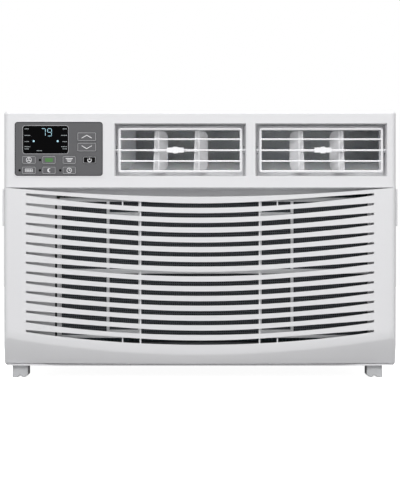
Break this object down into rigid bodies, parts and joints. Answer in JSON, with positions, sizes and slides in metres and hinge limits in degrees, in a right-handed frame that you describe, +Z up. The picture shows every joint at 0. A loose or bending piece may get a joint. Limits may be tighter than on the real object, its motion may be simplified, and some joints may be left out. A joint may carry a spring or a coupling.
{
  "type": "window air conditioner",
  "caption": "Boxy window air conditioner with a white front, two adjustable air outlets, a grey key panel with display, and a curved-slot intake grille.",
  "frame": {"origin": "middle of the bounding box's bottom, on the ground under the feet", "axes": "+Z up; -Y is the room side with the grille; +X is to the right as seen from the room"},
  "size_m": [0.6658, 0.67, 0.449],
  "materials": {
    "white_abs": "satin moulded",
    "grey_overlay": "matte",
    "black_display": "gloss",
    "grey_key": "matte",
    "green_key": "matte",
    "black_key": "matte",
    "filter_plastic": "matte moulded",
    "filter_net": "woven net",
    "foot_plastic": "matte moulded",
    "painted_steel": "powder coat",
    "galvanised": "zinc coated",
    "screw_steel": "zinc plated",
    "aluminium_fin": "mill",
    "copper": "bright tube",
    "white_foam": "bead foam",
    "grey_plastic": "moulded",
    "black_paint": "satin enamel",
    "rubber": "moulded",
    "motor_steel": "plated",
    "shaft_steel": "ground",
    "circuit_board": "solder mask",
    "capacitor_can": "drawn",
    "black_plastic": "moulded",
    "sensor_resin": "dipped"
  },
  "bodies": {
    "housing": {"front_bezel": "white_abs", "bezel_screws": "screw_steel", "front_feet": "foot_plastic", "rear_feet": "foot_plastic", "control_overlay": "grey_overlay", "display_lens": "black_display", "control_board": "circuit_board", "thermistor": "sensor_resin", "evaporator_fins": "aluminium_fin", "evaporator_tubes": "copper", "condenser_fins": "aluminium_fin", "condenser_tubes": "copper", "drip_tray": "grey_plastic", "blower_orifice": "galvanised", "blower_scroll": "white_foam", "fan_motor": "motor_steel", "motor_bracket": "galvanised", "fan_shroud": "galvanised", "air_duct": "white_foam", "base_pan": "painted_steel", "outer_cabinet": "painted_steel", "cord_gland": "black_plastic", "cabinet_screws": "screw_steel", "rear_guard": "painted_steel", "bulkhead": "galvanised", "compressor_shell": "black_paint", "compressor_grommets": "rubber", "compressor_bolts": "screw_steel", "accumulator": "black_paint", "terminal_cover": "black_plastic", "discharge_line": "copper", "suction_line": "copper", "filter_drier": "copper", "capillary_tube": "copper", "control_box": "galvanised", "main_board": "circuit_board", "run_capacitor": "capacitor_can"},
    "grille": {"intake_grille": "white_abs"},
    "filter": {"filter_frame": "filter_plastic", "filter_mesh": "filter_net"},
    "rotor": {"motor_shaft": "shaft_steel", "blower_wheel": "black_plastic", "condenser_fan": "grey_plastic"},
    "fan_key": {"fan_button": "grey_key"},
    "energy_key": {"energy_button": "green_key"},
    "mode_key": {"mode_button": "grey_key"},
    "power_key": {"power_button": "black_key"},
    "filter_key": {"filter_button": "grey_key"},
    "sleep_key": {"sleep_button": "grey_key"},
    "timer_key": {"timer_button": "grey_key"},
    "up_key": {"up_button": "grey_key"},
    "down_key": {"down_button": "grey_key"},
    "left_louver": {"left_louver_frame": "white_abs"},
    "left_vane_a": {"left_vane_1": "white_abs"},
    "left_vane_b": {"left_vane_2": "white_abs"},
    "left_link": {"left_vane_link": "white_abs"},
    "right_louver": {"right_louver_frame": "white_abs"},
    "right_vane_a": {"right_vane_1": "white_abs"},
    "right_vane_b": {"right_vane_2": "white_abs"},
    "right_link": {"right_vane_link": "white_abs"}
  },
  "joints": [
    {"name": "grille_hinge", "type": "hinge", "parent": "housing", "child": "grille", "pos_m": [0, -0.314, 0.029], "axis": [1, 0, 0], "range_deg": [0, 45]},
    {"name": "filter_slide", "type": "slide", "parent": "housing", "child": "filter", "axis": [0, 0, 1], "range_m": [0, 0.032]},
    {"name": "rotor_spin", "type": "hinge", "parent": "housing", "child": "rotor", "pos_m": [0.01, 0, 0.19], "axis": [0, 1, 0], "continuous": true},
    {"name": "fan_press", "type": "slide", "parent": "housing", "child": "fan_key", "axis": [0, 1, 0], "range_m": [0, 0.0008], "stiffness_N_per_m": 800, "springref_m": -0.0005},
    {"name": "energy_press", "type": "slide", "parent": "housing", "child": "energy_key", "axis": [0, 1, 0], "range_m": [0, 0.0008], "stiffness_N_per_m": 800, "springref_m": -0.0005},
    {"name": "mode_press", "type": "slide", "parent": "housing", "child": "mode_key", "axis": [0, 1, 0], "range_m": [0, 0.0008], "stiffness_N_per_m": 800, "springref_m": -0.0005},
    {"name": "power_press", "type": "slide", "parent": "housing", "child": "power_key", "axis": [0, 1, 0], "range_m": [0, 0.0008], "stiffness_N_per_m": 800, "springref_m": -0.0005},
    {"name": "filter_press", "type": "slide", "parent": "housing", "child": "filter_key", "axis": [0, 1, 0], "range_m": [0, 0.0008], "stiffness_N_per_m": 800, "springref_m": -0.0005},
    {"name": "sleep_press", "type": "slide", "parent": "housing", "child": "sleep_key", "axis": [0, 1, 0], "range_m": [0, 0.0008], "stiffness_N_per_m": 800, "springref_m": -0.0005},
    {"name": "timer_press", "type": "slide", "parent": "housing", "child": "timer_key", "axis": [0, 1, 0], "range_m": [0, 0.0008], "stiffness_N_per_m": 800, "springref_m": -0.0005},
    {"name": "up_press", "type": "slide", "parent": "housing", "child": "up_key", "axis": [0, 1, 0], "range_m": [0, 0.0008], "stiffness_N_per_m": 800, "springref_m": -0.0005},
    {"name": "down_press", "type": "slide", "parent": "housing", "child": "down_key", "axis": [0, 1, 0], "range_m": [0, 0.0008], "stiffness_N_per_m": 800, "springref_m": -0.0005},
    {"name": "left_tilt", "type": "hinge", "parent": "housing", "child": "left_louver", "pos_m": [-0.03325, -0.304, 0.3835], "axis": [1, 0, 0], "range_deg": [-20, 20]},
    {"name": "left_swivel_a", "type": "hinge", "parent": "left_louver", "child": "left_vane_a", "pos_m": [-0.07, -0.293, 0.3835], "axis": [0, 0, 1], "range_deg": [-2, 78]},
    {"name": "left_swivel_b", "type": "hinge", "parent": "left_louver", "child": "left_vane_b", "pos_m": [-0.00195, -0.293, 0.3835], "axis": [0, 0, 1], "range_deg": [-2, 78]},
    {"name": "left_crank", "type": "hinge", "parent": "left_vane_a", "child": "left_link", "pos_m": [-0.07554, -0.30009, 0.3835], "axis": [0, 0, 1], "range_deg": [-78, 2]},
    {"name": "right_tilt", "type": "hinge", "parent": "housing", "child": "right_louver", "pos_m": [0.2044, -0.304, 0.3835], "axis": [1, 0, 0], "range_deg": [-20, 20]},
    {"name": "right_swivel_a", "type": "hinge", "parent": "right_louver", "child": "right_vane_a", "pos_m": [0.16765, -0.293, 0.3835], "axis": [0, 0, 1], "range_deg": [-78, 2]},
    {"name": "right_swivel_b", "type": "hinge", "parent": "right_louver", "child": "right_vane_b", "pos_m": [0.2357, -0.293, 0.3835], "axis": [0, 0, 1], "range_deg": [-78, 2]},
    {"name": "right_crank", "type": "hinge", "parent": "right_vane_a", "child": "right_link", "pos_m": [0.17319, -0.30009, 0.3835], "axis": [0, 0, 1], "range_deg": [-2, 78]}
  ],
  "couplings": [
    {"joint": "left_swivel_b", "follows": "left_swivel_a", "ratio": 1},
    {"joint": "left_crank", "follows": "left_swivel_a", "ratio": -1},
    {"joint": "right_swivel_b", "follows": "right_swivel_a", "ratio": 1},
    {"joint": "right_crank", "follows": "right_swivel_a", "ratio": -1}
  ]
}
